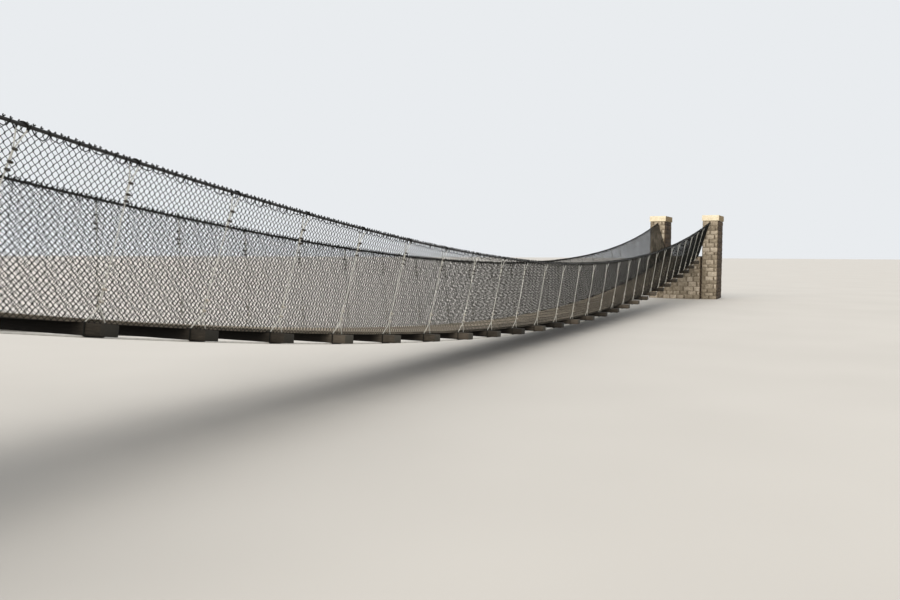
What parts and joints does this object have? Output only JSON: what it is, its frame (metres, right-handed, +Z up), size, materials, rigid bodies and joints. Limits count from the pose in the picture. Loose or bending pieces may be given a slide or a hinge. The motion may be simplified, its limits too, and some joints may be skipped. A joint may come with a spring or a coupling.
{
  "type": "suspension footbridge",
  "caption": "Suspension footbridge: timber crossbeams and deck hung on wire hangers from two handrail cables, chain-link sides, stone end pillars.",
  "frame": {"origin": "on the floor, below mid-span and on the centre line", "axes": "+X along the span, +Y across it towards the back side, +Z up"},
  "size_m": [38.46, 3.054, 3.74],
  "materials": {
    "pillar_stone": "rough coursed stone, pale tan with brown shadowed sides",
    "cap_stone": "sawn cream limestone slab",
    "beam_timber": "weathered grey-brown sawn timber with end checks",
    "deck_timber": "weathered grey boards",
    "coated_wire": "black coated chain-link wire",
    "black_cable": "dark weathered wire rope with pale galvanised hangers",
    "galvanised_rope": "pale galvanised wire rope"
  },
  "bodies": {
    "root": {"crossbeam_01": "beam_timber", "crossbeam_02": "beam_timber", "crossbeam_03": "beam_timber", "crossbeam_04": "beam_timber", "crossbeam_05": "beam_timber", "crossbeam_06": "beam_timber", "crossbeam_07": "beam_timber", "crossbeam_08": "beam_timber", "crossbeam_09": "beam_timber", "crossbeam_10": "beam_timber", "crossbeam_11": "beam_timber", "crossbeam_12": "beam_timber", "crossbeam_13": "beam_timber", "crossbeam_14": "beam_timber", "crossbeam_15": "beam_timber", "crossbeam_16": "beam_timber", "crossbeam_17": "beam_timber", "crossbeam_18": "beam_timber", "crossbeam_19": "beam_timber", "crossbeam_20": "beam_timber", "crossbeam_21": "beam_timber", "crossbeam_22": "beam_timber", "crossbeam_23": "beam_timber", "crossbeam_24": "beam_timber", "crossbeam_25": "beam_timber", "crossbeam_26": "beam_timber", "crossbeam_27": "beam_timber", "crossbeam_28": "beam_timber", "abutment_left": "pillar_stone", "deck_left": "deck_timber", "pillar_left_front": "pillar_stone", "cap_left_front": "cap_stone", "mesh_front_left": "coated_wire", "pillar_left_back": "pillar_stone", "cap_left_back": "cap_stone", "mesh_back_left": "coated_wire", "abutment_right": "pillar_stone", "deck_right": "deck_timber", "pillar_right_front": "pillar_stone", "cap_right_front": "cap_stone", "mesh_front_right": "coated_wire", "pillar_right_back": "pillar_stone", "cap_right_back": "cap_stone", "mesh_back_right": "coated_wire", "suspension_cable_front": "black_cable", "floor_cable_front": "galvanised_rope", "suspension_cable_back": "black_cable", "floor_cable_back": "galvanised_rope"}
  },
  "joints": []
}
